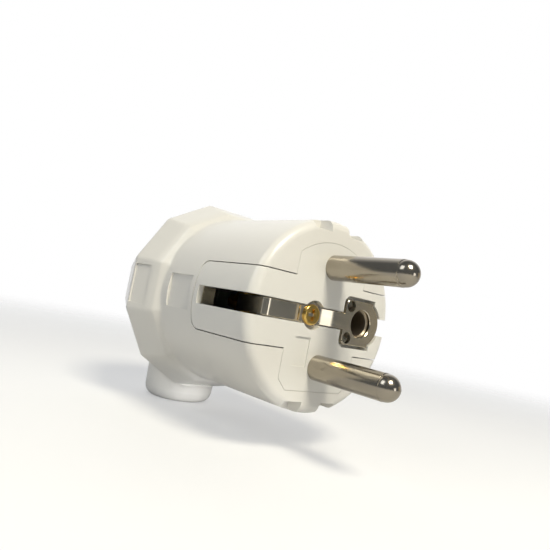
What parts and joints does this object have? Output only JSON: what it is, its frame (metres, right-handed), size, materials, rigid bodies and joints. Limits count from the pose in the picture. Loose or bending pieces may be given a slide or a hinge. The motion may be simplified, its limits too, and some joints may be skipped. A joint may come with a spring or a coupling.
{
  "type": "type f plug",
  "caption": "White angled rewirable mains plug with round pins, side earth contacts, an earth-pin socket, a faceted grip and a side cable inlet.",
  "frame": {"origin": "middle of the engagement face, halfway between the two pins", "axes": "+X out along the pins, +Y from the pin line to the earth socket, +Z along the pin line; the cable leaves at -Z"},
  "size_m": [0.075, 0.043, 0.0475],
  "materials": {
    "white_plastic": "semi-gloss moulded white",
    "nickel": "bright nickel plate",
    "nickel_strip": "satin nickel plated strip",
    "steel": "zinc plated steel",
    "brass": "yellow plated"
  },
  "bodies": {
    "root": {"housing": "white_plastic", "pin_carrier": "white_plastic", "line_pin": "nickel", "neutral_pin": "nickel", "earth_bridge": "nickel_strip", "earth_socket": "nickel", "terminal_screws": "steel", "cover_screw": "brass", "captive_nut": "brass", "cord_clamp": "white_plastic", "clamp_screws": "steel"}
  },
  "joints": []
}
